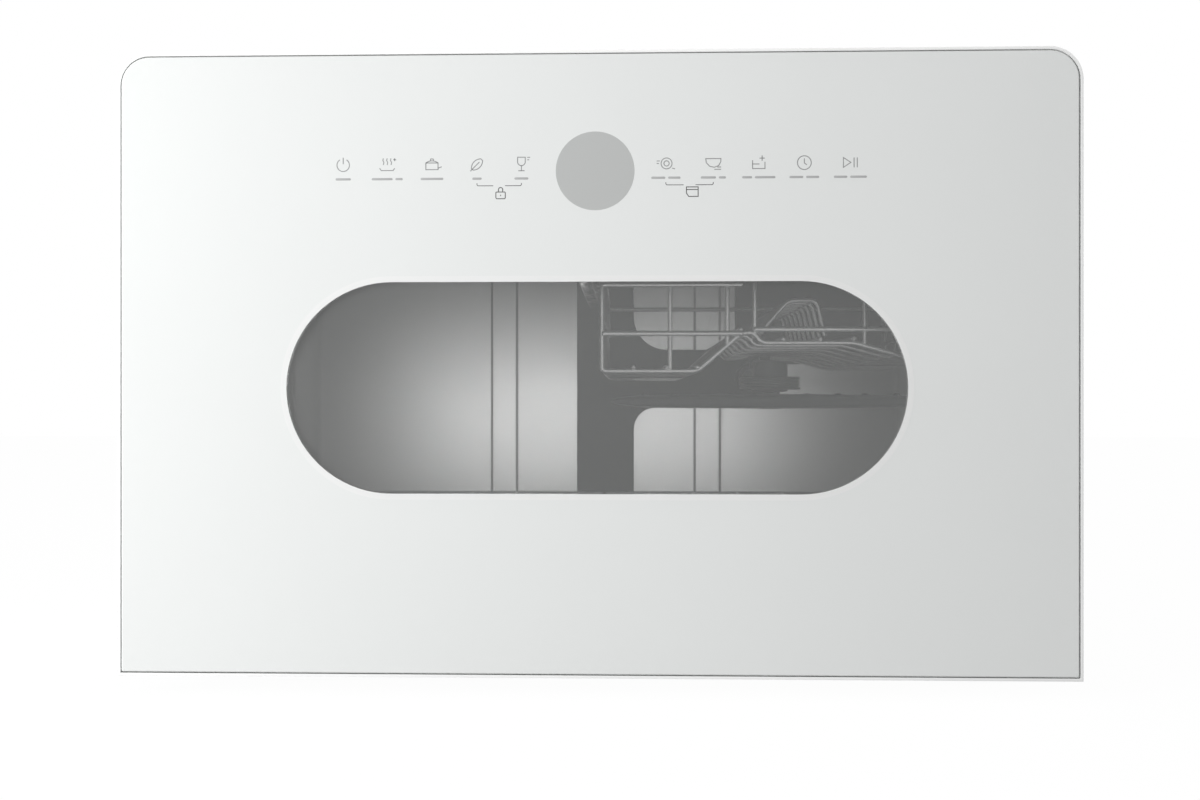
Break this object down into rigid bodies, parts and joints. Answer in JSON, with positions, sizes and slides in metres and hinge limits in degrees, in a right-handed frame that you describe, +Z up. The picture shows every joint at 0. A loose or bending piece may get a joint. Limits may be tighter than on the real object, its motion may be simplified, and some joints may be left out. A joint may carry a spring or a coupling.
{
  "type": "countertop dishwasher",
  "caption": "Countertop dishwasher with a drop-down glass door, a stadium window, touch panel, racks, spray arms and pumps.",
  "frame": {"origin": "on the surface that the feet stand on, under the middle of the machine's box", "axes": "+X to the right seen from the front, +Y to the back, +Z up"},
  "size_m": [0.55, 0.5, 0.368],
  "materials": {
    "white_paint": "satin",
    "white_glass": "gloss",
    "clear_glass": "gloss",
    "display_grey": "satin",
    "light_plastic": "satin",
    "grey_plastic": "satin",
    "dark_plastic": "matte",
    "stainless": "brushed",
    "zinc_steel": "satin",
    "rack_wire": "satin",
    "seal_rubber": "matte",
    "black_rubber": "matte",
    "felt": "matte",
    "board_green": "satin",
    "motor_metal": "satin",
    "blue_plastic": "satin",
    "amber_plastic": "satin"
  },
  "bodies": {
    "cabinet": {"cabinet_wrap": "white_paint", "rear_panel": "zinc_steel", "rear_screws": "zinc_steel", "base_tray": "dark_plastic", "rear_feet": "black_rubber", "hinge_brackets": "zinc_steel", "door_springs": "zinc_steel", "tub": "stainless", "tub_seal": "seal_rubber", "insulation": "felt", "latch_body": "grey_plastic", "sump": "grey_plastic", "filter_plate": "stainless", "wash_pump": "motor_metal", "flow_heater": "stainless", "riser_hose": "black_rubber", "spray_duct": "grey_plastic", "drain_pump": "dark_plastic", "drain_hose": "seal_rubber", "water_block": "light_plastic", "fill_hose": "light_plastic", "air_breaker": "light_plastic", "softener": "light_plastic", "power_box": "grey_plastic", "cord_gland": "dark_plastic", "upper_rails": "stainless"},
    "door": {"door_frame": "light_plastic", "front_glass": "white_glass", "window_glass": "clear_glass", "display_lens": "display_grey", "control_board": "board_green", "inner_window": "clear_glass", "inner_liner": "stainless", "liner_screws": "stainless", "hinge_arms": "zinc_steel", "door_strike": "zinc_steel", "dispenser_body": "grey_plastic"},
    "dispenser_lid": {"dispenser_lid": "light_plastic"},
    "rinse_cap": {"rinse_cap": "blue_plastic"},
    "spring_rods": {"spring_rods": "zinc_steel"},
    "latch_hook": {"latch_hook": "amber_plastic"},
    "lower_rack": {"lower_rack": "rack_wire"},
    "upper_rack": {"upper_rack": "rack_wire", "feed_pipe": "grey_plastic"},
    "front_wheel_left": {"front_wheel_left": "grey_plastic"},
    "front_wheel_right": {"front_wheel_right": "grey_plastic"},
    "rear_wheel_left": {"rear_wheel_left": "grey_plastic"},
    "rear_wheel_right": {"rear_wheel_right": "grey_plastic"},
    "left_tines": {"left_tines": "rack_wire"},
    "right_tines": {"right_tines": "rack_wire"},
    "cup_tines": {"cup_tines": "rack_wire"},
    "lower_spray_arm": {"lower_spray_arm": "grey_plastic"},
    "upper_spray_arm": {"upper_spray_arm": "grey_plastic"},
    "pump_impeller": {"pump_impeller": "light_plastic"},
    "drain_impeller": {"drain_impeller": "light_plastic"},
    "filter_cup": {"filter_cup": "grey_plastic"},
    "salt_cap": {"salt_cap": "grey_plastic"},
    "float": {"float": "light_plastic"},
    "front_foot_left": {"front_foot_left": "black_rubber"},
    "front_foot_right": {"front_foot_right": "black_rubber"}
  },
  "joints": [
    {"name": "door_hinge", "type": "hinge", "parent": "cabinet", "child": "door", "pos_m": [0, -0.226, 0.05], "axis": [1, 0, 0], "range_deg": [0, 90], "stiffness_Nm_per_rad": 4, "springref_deg": -5.73},
    {"name": "spring_pull", "type": "slide", "parent": "cabinet", "child": "spring_rods", "axis": [0, -1, 0], "range_m": [0, 0.03], "deforming": ["door_springs"]},
    {"name": "lower_rack_slide", "type": "slide", "parent": "cabinet", "child": "lower_rack", "axis": [0, -1, 0], "range_m": [0, 0.3]},
    {"name": "upper_rack_slide", "type": "slide", "parent": "cabinet", "child": "upper_rack", "axis": [0, -1, 0], "range_m": [0, 0.3]},
    {"name": "front_wheel_left_roll", "type": "hinge", "parent": "lower_rack", "child": "front_wheel_left", "pos_m": [-0.2155, -0.12, 0.0786], "axis": [1, 0, 0], "continuous": true},
    {"name": "front_wheel_right_roll", "type": "hinge", "parent": "lower_rack", "child": "front_wheel_right", "pos_m": [0.2155, -0.12, 0.0786], "axis": [1, 0, 0], "continuous": true},
    {"name": "rear_wheel_left_roll", "type": "hinge", "parent": "lower_rack", "child": "rear_wheel_left", "pos_m": [-0.2155, 0.12, 0.0786], "axis": [1, 0, 0], "continuous": true},
    {"name": "rear_wheel_right_roll", "type": "hinge", "parent": "lower_rack", "child": "rear_wheel_right", "pos_m": [0.2155, 0.12, 0.0786], "axis": [1, 0, 0], "continuous": true},
    {"name": "left_tines_fold", "type": "hinge", "parent": "lower_rack", "child": "left_tines", "pos_m": [-0.054, 0, 0.0965], "axis": [0, 1, 0], "range_deg": [0, 90]},
    {"name": "right_tines_fold", "type": "hinge", "parent": "lower_rack", "child": "right_tines", "pos_m": [0.162, 0, 0.0965], "axis": [0, 1, 0], "range_deg": [0, 90]},
    {"name": "cup_tines_fold", "type": "hinge", "parent": "upper_rack", "child": "cup_tines", "pos_m": [0.1, 0, 0.21], "axis": [0, -1, 0], "range_deg": [0, 70]},
    {"name": "lower_arm_spin", "type": "hinge", "parent": "cabinet", "child": "lower_spray_arm", "pos_m": [0, -0.008, 0.08], "axis": [0, 0, 1], "continuous": true},
    {"name": "upper_arm_spin", "type": "hinge", "parent": "upper_rack", "child": "upper_spray_arm", "pos_m": [0.121, -0.01, 0.168], "axis": [0, 0, 1], "continuous": true},
    {"name": "pump_spin", "type": "hinge", "parent": "cabinet", "child": "pump_impeller", "pos_m": [0.084, -0.008, 0.038], "axis": [1, 0, 0], "continuous": true},
    {"name": "drain_spin", "type": "hinge", "parent": "cabinet", "child": "drain_impeller", "pos_m": [-0.084, -0.008, 0.038], "axis": [1, 0, 0], "continuous": true},
    {"name": "filter_turn", "type": "hinge", "parent": "cabinet", "child": "filter_cup", "pos_m": [0.034, -0.008, 0.05], "axis": [0, 0, 1], "range_deg": [0, 40]},
    {"name": "salt_cap_turn", "type": "hinge", "parent": "cabinet", "child": "salt_cap", "pos_m": [-0.16, 0.1, 0.072], "axis": [0, 0, 1], "range_deg": [0, 360]},
    {"name": "float_rise", "type": "slide", "parent": "cabinet", "child": "float", "axis": [0, 0, 1], "range_m": [0, 0.01]},
    {"name": "front_foot_left_screw", "type": "slide", "parent": "cabinet", "child": "front_foot_left", "axis": [0, 0, -1], "range_m": [0, 0.008]},
    {"name": "front_foot_right_screw", "type": "slide", "parent": "cabinet", "child": "front_foot_right", "axis": [0, 0, -1], "range_m": [0, 0.008]},
    {"name": "latch_swing", "type": "hinge", "parent": "cabinet", "child": "latch_hook", "pos_m": [0, -0.168, 0.355], "axis": [-1, 0, 0], "range_deg": [0, 5.5]},
    {"name": "lid_open", "type": "hinge", "parent": "door", "child": "dispenser_lid", "pos_m": [-0.147, -0.2064, 0.268], "axis": [-1, 0, 0], "range_deg": [0, 100]},
    {"name": "rinse_cap_turn", "type": "hinge", "parent": "door", "child": "rinse_cap", "pos_m": [-0.071, -0.208, 0.298], "axis": [0, 1, 0], "range_deg": [0, 90]}
  ],
  "couplings": [
    {"joint": "lower_rack_slide", "follows": "door_hinge", "m_per_rad": 0.044},
    {"joint": "upper_rack_slide", "follows": "door_hinge", "m_per_rad": 0.14},
    {"joint": "spring_pull", "follows": "door_hinge", "m_per_rad": 0.019}
  ]
}
